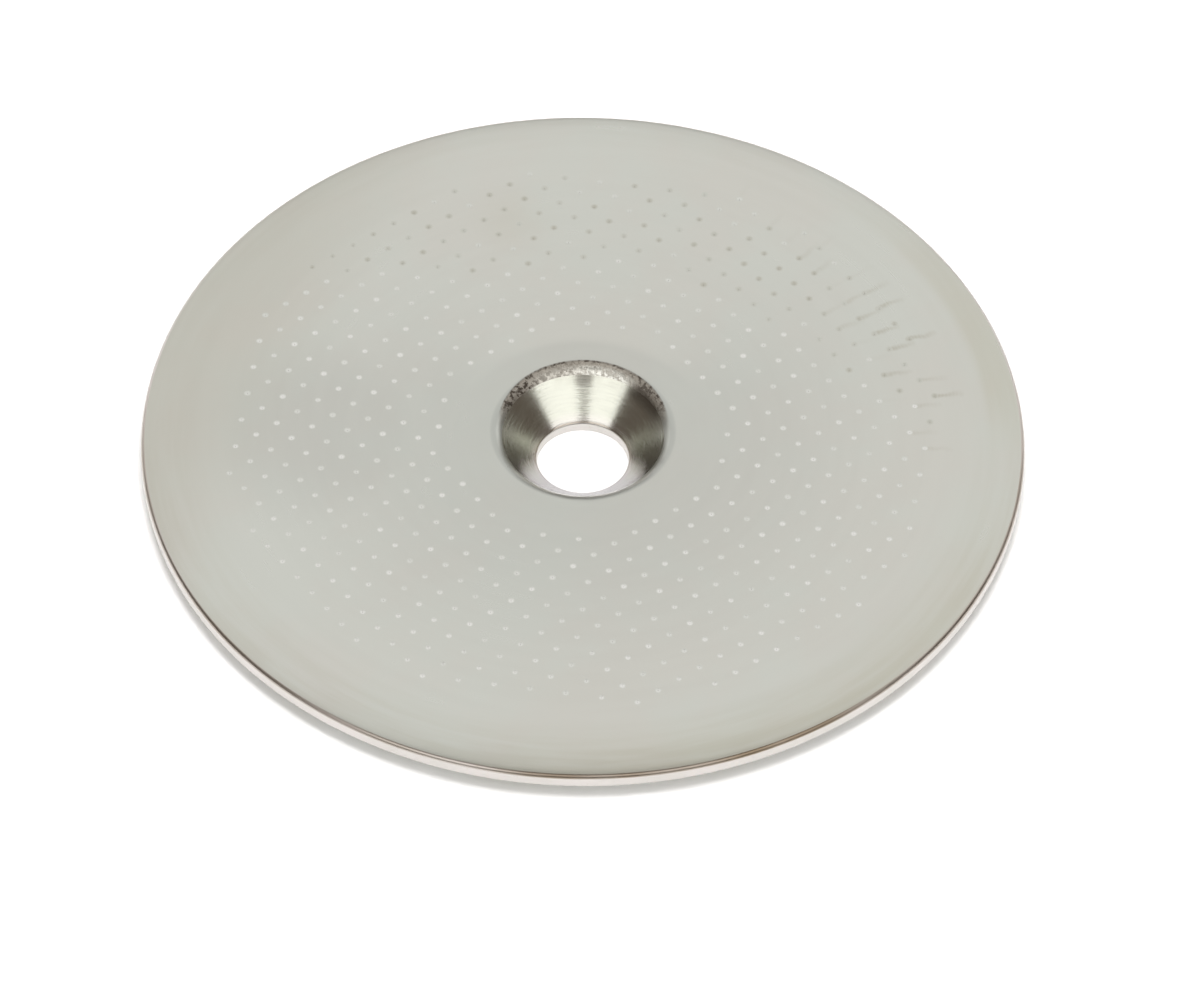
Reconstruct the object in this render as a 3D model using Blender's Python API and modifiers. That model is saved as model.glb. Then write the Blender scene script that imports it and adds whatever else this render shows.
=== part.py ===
"""Espresso shower screen: one pressed sheet-steel disc, in metres, +Z up.

The disc is turned as a flat blank with its screw dish and rolled rim, perforated on a square
lattice, and then pressed to its shallow crown. It stands on the foot ring under the dish, with
the coffee side up and the origin under the screw hole.
"""

import math

import bmesh
import bpy
import numpy as np
from mathutils import Vector, geometry

# Disc
DISC_DIAMETER = 0.0576
SHEET = 0.0010
CROWN = 0.0005
TURN_STEPS = 40

# Rolled rim
RIM_WIDTH = 0.0034
RIM_DROP = 0.000565
RIM_STEPS = 2
EDGE_ROUND = 0.0003
EDGE_STEPS = 2
EDGE_CHAMFER = 0.00024
SEAT_WIDTH = 0.0012

# Dish for a flat-head screw
SCREW_HOLE_DIAMETER = 0.0060
DISH_DEPTH = 0.00275
DISH_ANGLE = math.radians(90)
SHOULDER_RADIUS = 0.0016
SHOULDER_STEPS = 2
BEND_STEPS = 1
FOOT_WIDTH = 0.00076

# Perforations: a square lattice, turned, with the disc's axis in the middle of a cell
PITCH = 0.00165
LATTICE_TURN = math.radians(36.6)
PERFORATION_DIAMETER = 0.00035
PERFORATION_SIDES = 4
FIELD_TO_RIM = 0.00215
FIELD_TO_DISH = 0.00225

# Points this close are one point
WELD = 1e-6

# How the fill treats its outlines: the space inside the outer one, less the ones within it
INSIDE_WITH_HOLES = 2

# A face whose normal rises less than this is a wall
UPRIGHT = 0.5

# An edge that turns more than this stays crisp
CRISP_ANGLE = math.radians(30)

# Satin stainless steel
STEEL_COLOR = (0.56, 0.56, 0.51, 1.0)
STEEL_ROUGHNESS = 0.38

# Sizes that follow from the ones above
DISC_RADIUS = DISC_DIAMETER / 2
SCREW_HOLE_RADIUS = SCREW_HOLE_DIAMETER / 2
WALL_SLOPE = math.pi / 2 - DISH_ANGLE / 2
LAND = SHEET / math.cos(WALL_SLOPE) - FOOT_WIDTH * math.tan(WALL_SLOPE)
FACE_HEIGHT = DISH_DEPTH + LAND
BACK_HEIGHT = FACE_HEIGHT - SHEET
SHOULDER_DROP = SHOULDER_RADIUS * (1 - math.cos(WALL_SLOPE))
CONE_RUN = (DISH_DEPTH - SHOULDER_DROP) / math.tan(WALL_SLOPE)
DISH_RADIUS = SCREW_HOLE_RADIUS + CONE_RUN + SHOULDER_RADIUS * math.sin(WALL_SLOPE)
ROLL_START = DISC_RADIUS - RIM_WIDTH
FIELD_OUTER = ROLL_START - FIELD_TO_RIM
FIELD_INNER = DISH_RADIUS + FIELD_TO_DISH


def clear_scene():
    for obj in list(bpy.data.objects):
        bpy.data.objects.remove(obj, do_unlink=True)


def new_collection(name):
    collection = bpy.data.collections.new(name)
    bpy.context.scene.collection.children.link(collection)
    return collection


def taken_mesh(obj):
    """The mesh that the object's modifiers make. The object itself goes."""
    graph = bpy.context.evaluated_depsgraph_get()
    mesh = bpy.data.meshes.new_from_object(obj.evaluated_get(graph))
    bpy.data.objects.remove(obj, do_unlink=True)
    return mesh


def satin_steel():
    material = bpy.data.materials.new("satin_steel")
    material.use_nodes = True
    shader = material.node_tree.nodes["Principled BSDF"]
    shader.inputs["Base Color"].default_value = STEEL_COLOR
    shader.inputs["Metallic"].default_value = 1.0
    shader.inputs["Roughness"].default_value = STEEL_ROUGHNESS
    return material


def arc(centre, radius, first, last, steps):
    """Points (radius from the axis, height) along an arc, angles measured from +X towards +Z."""
    angles = np.linspace(first, last, steps + 1)
    return [(centre[0] + radius * math.cos(a), centre[1] + radius * math.sin(a)) for a in angles]


def crown_slope():
    """How steeply the pressed crown falls where it meets the rolled rim."""
    return 2 * CROWN / (ROLL_START - DISH_RADIUS)


def roll_drop(distance):
    """Fall of the rim's top at a distance outside the start of the roll: a parabola that carries
    on from the crown's slope and has fallen by RIM_DROP at the disc's edge."""
    slope = crown_slope()
    bend = (RIM_DROP - slope * RIM_WIDTH) / RIM_WIDTH**2
    return slope * distance + bend * distance**2


def shoulder_arc(radius, steps):
    """Where the face turns into the dish: the bend's centre serves both sides of the sheet."""
    centre = (DISH_RADIUS, FACE_HEIGHT - SHOULDER_RADIUS)
    return arc(centre, radius, math.pi / 2, math.pi / 2 + WALL_SLOPE, steps)


def dish_profile():
    """From the field's underside down the back of the dish to its foot, up the screw hole's wall
    and up the countersink to the face."""
    back = shoulder_arc(SHOULDER_RADIUS - SHEET, BEND_STEPS)
    foot = [(SCREW_HOLE_RADIUS + FOOT_WIDTH, 0.0), (SCREW_HOLE_RADIUS, 0.0)]
    lip = [(SCREW_HOLE_RADIUS, FACE_HEIGHT - DISH_DEPTH)]
    face = shoulder_arc(SHOULDER_RADIUS, SHOULDER_STEPS)
    return back + foot + lip + face[::-1]


def rim_profile():
    """From the face out over the roll, down round the edge to its lower chamfer, and back along the
    seat."""
    distances = np.linspace(0, RIM_WIDTH - EDGE_ROUND, RIM_STEPS + 1)
    roll = [(ROLL_START + d, FACE_HEIGHT - roll_drop(d)) for d in distances]
    edge_centre = (DISC_RADIUS - EDGE_ROUND, roll[-1][1] - EDGE_ROUND)
    edge = arc(edge_centre, EDGE_ROUND, math.pi / 2, 0, EDGE_STEPS)
    seat_height = BACK_HEIGHT - RIM_DROP
    chamfer = [(DISC_RADIUS, seat_height + EDGE_CHAMFER), (DISC_RADIUS - EDGE_CHAMFER, seat_height)]
    under = [(DISC_RADIUS - SEAT_WIDTH, seat_height), (ROLL_START, BACK_HEIGHT)]
    return roll + edge[1:] + chamfer + under


def turned_mesh(profile, collection):
    """An open section turned about Z."""
    count = len(profile)
    section = bpy.data.meshes.new("section")
    points = [(radius, 0.0, height) for radius, height in profile]
    section.from_pydata(points, [(i, i + 1) for i in range(count - 1)], [])
    turned = bpy.data.objects.new("section", section)
    collection.objects.link(turned)
    turn = turned.modifiers.new("turn", "SCREW")
    turn.axis = "Z"
    turn.angle = 2 * math.pi
    turn.steps = TURN_STEPS
    turn.render_steps = TURN_STEPS
    turn.use_merge_vertices = True
    turn.merge_threshold = WELD
    return taken_mesh(turned)


def lattice_sites():
    """Centres of the perforations: the lattice points inside the field's two circles."""
    reach = math.ceil(FIELD_OUTER / PITCH) + 1
    steps = np.arange(-reach, reach) + 0.5
    across, along = np.meshgrid(steps * PITCH, steps * PITCH)
    x = across * math.cos(LATTICE_TURN) - along * math.sin(LATTICE_TURN)
    y = across * math.sin(LATTICE_TURN) + along * math.cos(LATTICE_TURN)
    radius = np.hypot(x, y)
    inside = (radius > FIELD_INNER) & (radius < FIELD_OUTER)
    return np.column_stack([x[inside], y[inside]])


def ring(centre, radius, sides, first_angle=0.0):
    """Corners of a regular outline."""
    angles = first_angle + 2 * math.pi * np.arange(sides) / sides
    return centre + radius * np.column_stack([np.cos(angles), np.sin(angles)])


def field_mesh(collection):
    """The flat perforated sheet between dish and rim, in even triangles that the press can bend.
    It is filled between its outlines and given the sheet's thickness."""
    axis = np.zeros(2)
    outlines = [ring(axis, ROLL_START, TURN_STEPS), ring(axis, DISH_RADIUS, TURN_STEPS)]
    for site in lattice_sites():
        outlines.append(ring(site, PERFORATION_DIAMETER / 2, PERFORATION_SIDES, LATTICE_TURN))
    corners = []
    loops = []
    for outline in outlines:
        loops.append(range(len(corners), len(corners) + len(outline)))
        corners += [Vector(corner) for corner in outline]
    filled = geometry.delaunay_2d_cdt(corners, [], loops, INSIDE_WITH_HOLES, WELD)
    face = bpy.data.meshes.new("field")
    face.from_pydata([(x, y, FACE_HEIGHT) for x, y in filled[0]], [], filled[2])
    field = bpy.data.objects.new("field", face)
    collection.objects.link(field)
    sheet = field.modifiers.new("sheet", "SOLIDIFY")
    sheet.thickness = SHEET
    sheet.offset = -1.0
    return taken_mesh(field)


def welded_blank(field, dish, rim):
    """The three as one closed mesh, without the field's walls at the dish and at the rim."""
    blank = bmesh.new()
    blank.from_mesh(field)
    inner_wall = (DISH_RADIUS + FIELD_INNER) / 2
    outer_wall = (FIELD_OUTER + ROLL_START) / 2
    walls = [
        face
        for face in blank.faces
        if abs(face.normal.z) < UPRIGHT
        and not inner_wall < face.calc_center_median().xy.length < outer_wall
    ]
    bmesh.ops.delete(blank, geom=walls, context="FACES")
    blank.from_mesh(dish)
    blank.from_mesh(rim)
    bmesh.ops.remove_doubles(blank, verts=blank.verts, dist=WELD)
    bmesh.ops.recalc_face_normals(blank, faces=blank.faces)
    mesh = bpy.data.meshes.new("shower_screen")
    blank.to_mesh(mesh)
    blank.free()
    return mesh


def press_crown(mesh):
    """Lowers the field and the rim by a parabola of the distance from the dish, both sides alike."""
    points = np.empty(len(mesh.vertices) * 3)
    mesh.vertices.foreach_get("co", points)
    points = points.reshape(-1, 3)
    radius = np.hypot(points[:, 0], points[:, 1])
    share = np.clip((radius - DISH_RADIUS) / (ROLL_START - DISH_RADIUS), 0, 1)
    points[:, 2] -= CROWN * share**2
    mesh.vertices.foreach_set("co", points.ravel())
    mesh.update()


def main():
    clear_scene()
    parts = new_collection("espresso_shower_screen")
    dish = turned_mesh(dish_profile(), parts)
    rim = turned_mesh(rim_profile(), parts)
    mesh = welded_blank(field_mesh(parts), dish, rim)
    press_crown(mesh)
    mesh.materials.append(satin_steel())
    mesh.shade_smooth()
    mesh.set_sharp_from_angle(angle=CRISP_ANGLE)
    parts.objects.link(bpy.data.objects.new("shower_screen", mesh))


main()
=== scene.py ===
"""Espresso shower screen: the finished surface, its steel and its studio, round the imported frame.

The disc is one closed skin of quads. Each perforation lies in its own square cell of the lattice,
and rings run from the field's stepped edges in to the screw dish and out to the rolled rim.
"""

import math

import bmesh
import bpy
import numpy as np
from bpy.props import FloatProperty, FloatVectorProperty, IntProperty, PointerProperty
from mathutils import Matrix, Vector


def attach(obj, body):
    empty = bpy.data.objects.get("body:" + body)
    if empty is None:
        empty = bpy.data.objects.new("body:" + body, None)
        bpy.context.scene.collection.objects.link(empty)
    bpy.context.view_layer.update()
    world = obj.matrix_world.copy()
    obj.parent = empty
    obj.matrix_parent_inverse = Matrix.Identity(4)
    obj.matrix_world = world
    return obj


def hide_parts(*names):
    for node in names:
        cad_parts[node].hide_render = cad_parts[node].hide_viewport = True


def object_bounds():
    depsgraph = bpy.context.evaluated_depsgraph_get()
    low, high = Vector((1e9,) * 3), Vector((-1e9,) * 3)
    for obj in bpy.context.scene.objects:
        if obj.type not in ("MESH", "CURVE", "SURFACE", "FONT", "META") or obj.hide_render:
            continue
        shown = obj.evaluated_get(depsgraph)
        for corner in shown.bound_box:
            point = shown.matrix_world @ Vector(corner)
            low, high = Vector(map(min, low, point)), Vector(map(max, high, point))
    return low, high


bl_info = {
    "name": "Espresso shower screen",
    "version": (1, 0, 0),
    "blender": (4, 5, 0),
    "location": "3D View > Sidebar > Shower Screen",
    "description": "Builds a perforated espresso shower screen with its steel finishes and studio",
    "category": "Add Mesh",
}

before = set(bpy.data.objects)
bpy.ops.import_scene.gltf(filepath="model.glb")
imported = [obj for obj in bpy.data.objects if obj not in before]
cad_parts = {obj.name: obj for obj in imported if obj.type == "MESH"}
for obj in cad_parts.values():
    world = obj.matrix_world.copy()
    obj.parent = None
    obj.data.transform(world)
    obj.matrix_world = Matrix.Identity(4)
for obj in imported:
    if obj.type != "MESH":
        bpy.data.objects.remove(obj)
CAD_LOW, CAD_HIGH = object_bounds()

# The photograph, and where the disc's axis meets its rim plane in it. That plane lies this far
# under the top of the face
PHOTO_WIDTH = 1203
PHOTO_HEIGHT = 984
CENTRE_ACROSS = 582.95
CENTRE_DOWN = 440.0
RIM_PLANE = 0.00095
SENSOR_WIDTH = 36.0

# Millimetres in a metre: the patterns are laid out in millimetres
PER_METRE = 1000.0

# Points this close are one point, and an edge that turns more than this stays crisp
WELD = 1e-7
CRISP_ANGLE = math.radians(38)

# How finely the skin is divided
CELL_SIDES = 12
DIMPLE_STEPS = 5
BAND_STEPS = 4
ROLL_STEPS = 9
EDGE_STEPS = 6
SHOULDER_STEPS = 12
BEND_STEPS = 5
CONE_STEPS = 8
FLAT_STEPS = 3
ARRIS_STEPS = 3
DRAG_STEPS = 8

# Numbers of waves round the shoulder that its unevenness is made of
CHATTER_WAVES = 4, 34

# How the mouths of the perforations vary, in size and in the brightness of their bare steel, which
# is partly painted highlight
MOUTH_SPREAD = 0.92, 1.08
MOUTH_BRIGHTNESS = 0.35, 0.9

# Below, places on the disc are in millimetres from its axis, and directions in degrees from +X
# towards +Y. Between these two places, going back, the mouths' bright steel fades to this share as
# painted shade
BACK_SHADING = 8.0, 18.0
MOST_SHADED = 0.45

# Dried water: which ways its two fronts face, where they start and how far they fade. It thins
# again over the radii at its end, by this share, where a point lies beyond a line of this slope.
# Then the greatest share of mouths that it stains, and how strongly
STAIN_FRONTS = 99, 51
STAIN_START = 14.4
STAIN_FADE = 2.4
STAIN_END = 20.6, 21.4
STAIN_THINNED = 0.25
STAIN_BACK_SLOPE = 0.93
MOST_STAINED = 0.93
STAIN_STRENGTH = 0.2, 0.72

# What the edge of a mouth has of the stain inside it
STAIN_HALO = 0.35

# The marks dragged out of the perforations have a front of their own, which fades as far
DRAG_FRONT = 28
DRAG_START = 18.0

# A faint blotch among the stains, and a dull patch on the left
BLOTCH = -4.5, 18.6, 0.0
DULL_PATCH = -16.0, 0.0, 0.0

# A brown veil: which way it lies, and where it starts and is full
VEIL_SIDE = 158
VEIL = 16.0, 26.0

# By the rim: where the tan tint and the brown line of painted shade on the edge are strongest, the
# radii over which streaks and tint grow, and those over which the dried band at the right starts
TINT_SIDE = -55
EDGE_SHADE_SIDE = -75
RIM_BAND = 24.0, 28.4
DRIED_BAND = 26.1, 26.9

# Round the dish, radii over which each thing starts: the haze, its fading at the back, the painted
# shade of the ring where the shoulder turns down, and the painted highlight on the near shoulder
HAZE = 24.0, 6.5
HAZE_BACK = 6.8, 8.5
SHADE_RING_OUTER = 6.3, 5.9
SHADE_RING_INNER = 5.5, 5.75
NEAR_HIGHLIGHT = 5.85, 5.6

# The far shoulder's wear and painted light lie on rings of their own, whose middle is this far back:
# its scuffed width, the painted shade of the crease outside it, its burnished part with its painted
# highlight, and the painted shade at its right end
SCUFF_MIDDLE = 0.0, 0.6, 0.0
SCUFFED = 5.58, 5.46
CREASE_OUTER = 5.62, 5.53
CREASE_INNER = 5.34, 5.46
BURNISHED_HIGHLIGHT = 5.34, 5.10
END_SHADE = 5.25, 4.95

# On the dish's wall, radii of the smears, of the bright lip and of the brown line round it
SMEARS = 4.6, 5.3
LIP = 3.1, 3.7
LIP_LINE = 3.05, 3.22

# The brown line of painted shade on the disc's edge, by radius and by depth, and what is rubbed
# on the back
EDGE_LINE_SHADE = 27.9, 28.1
EDGE_SHADE_DEPTH = 0.24, 0.12
RUBBED_SEAT = 27.3, 27.7
RUBBED_FOOT = 3.7, 3.9

# The studio, in metres and degrees: the elevations at which its wall starts to fade and only the dim
# room is left, how far the floor reaches, the radii over which its glow under the disc starts and
# ends, how far off the lamps stand, and each one's azimuth, elevation, size and setting. The one
# over the floor isn't mirrored
WALL_TOP = 5
ROOM_START = 14
FLOOR_REACH = 6.0
UNDER_START = 0.0045, 0.006
UNDER_END = 0.0275, 0.0255
LAMP_DISTANCE = 1.8
FLOOR_LAMP = "floor_lamp"
LAMPS = {
    "rear_box": (177.0, 49.0, (3.7, 2.6), "rear_light"),
    "low_right_box": (133.0, 17.0, (0.3, 0.55), "side_light"),
    "low_left_box": (226.5, 14.0, (0.45, 0.75), "side_light"),
    "left_box": (-36.0, 46.0, (1.3, 1.3), "front_light"),
    "right_box": (40.0, 46.0, (1.6, 1.3), "front_light"),
    "middle_box": (0.0, 46.0, (0.40, 1.3), "middle_light"),
    FLOOR_LAMP: (3.0, 76.0, (0.5, 0.5), "floor_light"),
}

WHITE = 1.0, 1.0, 1.0

# Takes the height out of a point
LEVEL = 1.0, 1.0, 0.0

# The finishes, in the order of the disc's material slots
FACE, DISH, EDGE, MOUTH, BACK = range(5)


def length(name, description, default):
    return FloatProperty(
        name=name, description=description, default=default, min=0.0, precision=5, unit="LENGTH"
    )


def angle(name, description, degrees):
    return FloatProperty(
        name=name, description=description, default=math.radians(degrees), subtype="ANGLE"
    )


def share(name, description, default):
    return FloatProperty(
        name=name, description=description, default=default, min=0.0, max=1.0, subtype="FACTOR"
    )


def level(name, description, default):
    return FloatProperty(name=name, description=description, default=default, min=0.0)


def colour(name, description, default):
    return FloatVectorProperty(
        name=name, description=description, default=default, size=3, min=0.0, max=1.0, subtype="COLOR"
    )


class ShowerScreenSizes(bpy.types.PropertyGroup):
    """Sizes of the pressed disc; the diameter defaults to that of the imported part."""

    disc_diameter: length("Disc diameter", "Across the rolled rim", CAD_HIGH.x - CAD_LOW.x)
    sheet: length("Sheet", "Thickness of the steel", 0.0010)
    crown: length("Crown", "How far the field falls from the dish to the rim", 0.0005)
    rim_width: length("Rim width", "Width of the rolled band", 0.0034)
    rim_drop: length("Rim drop", "How far the rim rolls down", 0.000565)
    edge_round: length("Edge round", "Radius of the disc's edge, above", 0.0003)
    edge_under: length("Edge under", "Radius of the disc's edge, below", 0.00024)
    seat_width: length("Seat width", "Flat ring under the rim", 0.0012)
    screw_hole_diameter: length("Screw hole", "Hole at the bottom of the dish", 0.0060)
    dish_depth: length("Dish depth", "From the face to the lip of the screw hole", 0.00275)
    dish_angle: angle("Dish angle", "Full angle of the countersink", 90.0)
    shoulder_radius: length("Shoulder radius", "Bend from the face into the dish", 0.0016)
    foot_width: length("Foot width", "Ring that the dish stands on", 0.00076)
    arris: length("Arris", "How far crisp corners are broken", 0.00006)
    pitch: length("Pitch", "Spacing of the perforations", 0.00165)
    lattice_turn: angle("Lattice turn", "Turn of the perforations about the axis", 36.6)
    bore_diameter: length("Bore", "Narrowest part of a perforation", 0.00004)
    mouth_diameter: length("Mouth", "Perforation where it meets the face", 0.00044)
    mouth_depth: length("Mouth depth", "Depth of the dimple round a bore", 0.000034)
    collar_diameter: length("Collar", "Flat ring of sheet round a mouth", 0.00062)
    field_to_rim: length("Field to rim", "Plain band outside the perforations", 0.00215)
    field_to_dish: length("Field to dish", "Plain band inside the perforations", 0.00225)
    dish_apron: length("Dish apron", "Where the dish's rings meet the field's", 0.00045)
    chatter: length("Chatter", "Unevenness of the pressed shoulder", 0.000012)
    seed: IntProperty(name="Seed", description="Picks the small differences between holes", default=7)


class ShowerScreenFinish(bpy.types.PropertyGroup):
    """Colours and gloss of the steel."""

    steel: colour("Steel", "Satin face", (0.55, 0.57, 0.53))
    warm_steel: colour("Warm steel", "Face under a thin film", (0.565, 0.56, 0.52))
    stain: colour("Stain", "Brown marks of coffee and water", (0.36, 0.34, 0.27))
    rim_stain: colour("Rim stain", "Tint of the band by the rim", (0.465, 0.455, 0.365))
    # Haze: duller face round the dish; also painted shade in the ring where the shoulder turns
    haze: colour("Haze", "Face round the dish", (0.40, 0.42, 0.395))
    scuffed: colour("Scuffed", "Rubbed shoulder of the dish", (0.52, 0.49, 0.43))
    # Burnished: brighter steel, partly burnish and partly painted highlight, on the far side only
    burnished_highlight: colour("Burnished", "Inner part of that shoulder", (0.70, 0.70, 0.64))
    # Crease: near-black painted shade on the shoulder's far side and on the dish's wall
    crease: colour("Crease", "Dirt in the crease round the shoulder", (0.10, 0.085, 0.07))
    bright: colour("Bright steel", "Polished wall of the dish", (0.585, 0.595, 0.525))
    cut: colour("Cut steel", "Cut edges and the screw hole's wall", (0.65, 0.62, 0.60))
    # Brown: painted shade where the edge's top mirrors the dark room; also the lip's line
    brown: colour("Brown", "Line round the top of the disc's edge", (0.24, 0.185, 0.125))
    # Bare: clean mouths, partly painted highlight; also the painted highlight on the near shoulder
    bare: colour("Bare steel", "Clean mouths of the perforations", (0.75, 0.755, 0.735))
    grazed: colour("Grazed steel", "What the dish's wall mirrors at a low angle", (0.65, 0.63, 0.68))
    face_roughness: share("Face roughness", "Satin face", 0.30)
    dish_roughness: share("Dish roughness", "Polished wall of the dish", 0.18)
    edge_roughness: share("Edge roughness", "Cut edges", 0.30)


class ShowerScreenStage(bpy.types.PropertyGroup):
    """Studio and camera."""

    elevation: angle("Elevation", "Camera above the horizon", 48.42)
    roll: angle("Roll", "Turn of the camera about its own view", 0.61)
    distance: length("Distance", "From the disc's rim plane to the camera", 1.083)
    lens: level("Lens", "Focal length in millimetres", 497.2)
    floor: colour("Floor", "Colour of the floor", (0.9, 0.9, 0.9))
    floor_glow: share("Floor glow", "Floor in full shade, where 1 is white", 0.08)
    under_glow: share("Under glow", "Reflected floor under the disc", 0.50)
    floor_light: level("Floor light", "Radiance of the lamp over the floor", 24.0)
    rear_light: level("Rear light", "Radiance of the soft box behind", 0.94)
    front_light: level("Front light", "Radiance of the two soft boxes in front", 1.55)
    middle_light: level("Middle light", "Radiance of the strip between those two", 0.45)
    side_light: level("Side light", "Radiance of the two low boxes behind", 0.66)
    wall: colour("Wall", "Radiance of the wall round the table", (0.34, 0.33, 0.315))
    ceiling: colour("Ceiling", "Radiance of the dim room above", (0.145, 0.118, 0.10))


class DiscForm:
    """Radii and heights that follow from the sizes."""

    def __init__(self, sizes):
        self.radius = sizes.disc_diameter / 2
        self.hole_radius = sizes.screw_hole_diameter / 2
        self.wall_slope = math.pi / 2 - sizes.dish_angle / 2
        land = sizes.sheet / math.cos(self.wall_slope) - sizes.foot_width * math.tan(self.wall_slope)
        self.lip_height = land
        self.face_height = sizes.dish_depth + land
        self.back_height = self.face_height - sizes.sheet
        shoulder_drop = sizes.shoulder_radius * (1 - math.cos(self.wall_slope))
        cone_run = (sizes.dish_depth - shoulder_drop) / math.tan(self.wall_slope)
        shoulder_run = sizes.shoulder_radius * math.sin(self.wall_slope)
        self.dish_radius = self.hole_radius + cone_run + shoulder_run
        self.apron_radius = self.dish_radius + sizes.dish_apron
        self.roll_start = self.radius - sizes.rim_width
        self.field_outer = self.roll_start - sizes.field_to_rim
        self.field_inner = self.dish_radius + sizes.field_to_dish
        self.crown_slope = 2 * sizes.crown / (self.roll_start - self.dish_radius)


def pressed(points, sizes, form):
    """The press: each point sinks by the crown times the square of its share of the way from the
    dish's radius to the start of the roll."""
    radius = np.hypot(points[..., 0], points[..., 1])
    way = np.clip((radius - form.dish_radius) / (form.roll_start - form.dish_radius), 0, 1)
    sunk = points.copy()
    sunk[..., 2] -= sizes.crown * way**2
    return sunk


def arc(centre, radius, first, last, steps):
    """Centre plus radius times cosine and sine of evenly spaced angles, as (radius, height)."""
    turn = np.linspace(first, last, steps + 1)
    return np.asarray(centre) + radius * np.column_stack([np.cos(turn), np.sin(turn)])


def broken_corner(before, corner, after, reach):
    """A corner broken by the parabola between points at the same reach along its two sides: at s it
    is (1 - s) squared of the first, 2 s (1 - s) of the corner and s squared of the last."""
    before, corner, after = (np.asarray(point, float) for point in (before, corner, after))
    first = corner + reach * (before - corner) / np.linalg.norm(before - corner)
    last = corner + reach * (after - corner) / np.linalg.norm(after - corner)
    s = np.linspace(0, 1, ARRIS_STEPS + 1)[:, None]
    return (1 - s) ** 2 * first + 2 * s * (1 - s) * corner + s**2 * last


def straight(first, last, steps):
    """Evenly spaced points from the first to the last."""
    return np.linspace(first, last, steps + 1)


def in_disc_frame(points, turn):
    """Plan points of the lattice turned about the axis by the lattice's angle."""
    x = points[..., 0] * math.cos(turn) - points[..., 1] * math.sin(turn)
    y = points[..., 0] * math.sin(turn) + points[..., 1] * math.cos(turn)
    return np.stack([x, y], axis=-1)


def facing(degrees):
    """Unit direction in the disc's plane."""
    return math.cos(math.radians(degrees)), math.sin(math.radians(degrees)), 0.0


def at_height(points, height):
    """Plan points given one height."""
    return np.concatenate([points, np.full(points.shape[:-1] + (1,), height)], axis=-1)


def held_cells(sizes, form):
    """The middles of the lattice's cells, at half-integer numbers of pitches from the axis, and which
    of them hold a perforation: those between the field's two circles."""
    reach = math.ceil(form.field_outer / sizes.pitch) + 1
    numbers = np.arange(-reach, reach) + 0.5
    across, along = np.meshgrid(numbers * sizes.pitch, numbers * sizes.pitch, indexing="ij")
    radius = np.hypot(across, along)
    held = (radius > form.field_inner) & (radius < form.field_outer)
    return np.stack([across, along], axis=-1), held


def square_points(quarter, pitch):
    """Points along one side of a square cell, its far corner left out: the half pitch times one and
    a run from -1 to 1, turned by quarter turns."""
    steps = CELL_SIDES // 4
    run = 2 * np.arange(steps) / steps - 1
    side = np.column_stack([np.ones(steps), run]) * pitch / 2
    return in_disc_frame(side, quarter * math.pi / 2)


def cell_circle():
    """Points of the unit circle, the first of them towards a corner of the cell."""
    turn = 2 * math.pi * np.arange(CELL_SIDES) / CELL_SIDES - math.pi / 4
    return np.column_stack([np.cos(turn), np.sin(turn)])


def cell_plans(sizes, middles, mouth_radius):
    """Rings of every cell as (cells, around, across, 2): the mouth's circle, the collar's circle and
    the cell's square, point opposite point."""
    square = np.concatenate([square_points(quarter, sizes.pitch) for quarter in range(4)])
    mouth = mouth_radius[:, None, None] * cell_circle()
    collar = np.broadcast_to(sizes.collar_diameter / 2 * cell_circle(), mouth.shape)
    edge = np.broadcast_to(square, mouth.shape)
    return middles[:, None, None] + np.stack([mouth, collar, edge], axis=2)


def sleeve_rings(sizes, form, middles, mouth_radius):
    """Walls of every perforation as (cells, around, across, 3): circles that go from the mouth down
    its dimple to the bore, along the bore, and out to the mouth on the other side. The dimple starts
    level with the face: its depth is the mouth depth times the square of one less the square of the
    way out from the bore."""
    bore = sizes.bore_diameter / 2
    out = np.linspace(1, 0, DIMPLE_STEPS + 1)
    out = np.append(out, [0, 1])
    radii = bore + (mouth_radius[:, None] - bore) * out
    depths = sizes.mouth_depth * (1 - out**2) ** 2
    depths[-2:] = sizes.sheet - depths[-2:]
    plan = middles[:, None, None] + radii[:, None, :, None] * cell_circle()[None, :, None]
    height = np.broadcast_to(form.face_height - depths, plan.shape[:-1])
    return np.concatenate([plan, height[..., None]], axis=-1)


def stepped_edges(middles, held, sizes, form):
    """The field's stepped outlines on the disc, outer and inner, in order round the axis: the points
    of every cell side that has no held cell beyond it."""
    padded = np.pad(held, 1)
    runs = []
    for quarter, beyond in enumerate(((1, 0), (0, 1), (-1, 0), (0, -1))):
        neighbour = np.roll(padded, (-beyond[0], -beyond[1]), axis=(0, 1))[1:-1, 1:-1]
        bare = middles[held & ~neighbour]
        runs.append((bare[:, None] + square_points(quarter, sizes.pitch)).reshape(-1, 2))
    points = in_disc_frame(np.concatenate(runs), sizes.lattice_turn)
    radius = np.hypot(points[:, 0], points[:, 1])
    outside = radius > (form.field_outer + form.field_inner) / 2
    outlines = []
    for chosen in (points[outside], points[~outside]):
        outlines.append(chosen[np.argsort(np.arctan2(chosen[:, 1], chosen[:, 0]))])
    return outlines


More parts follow.
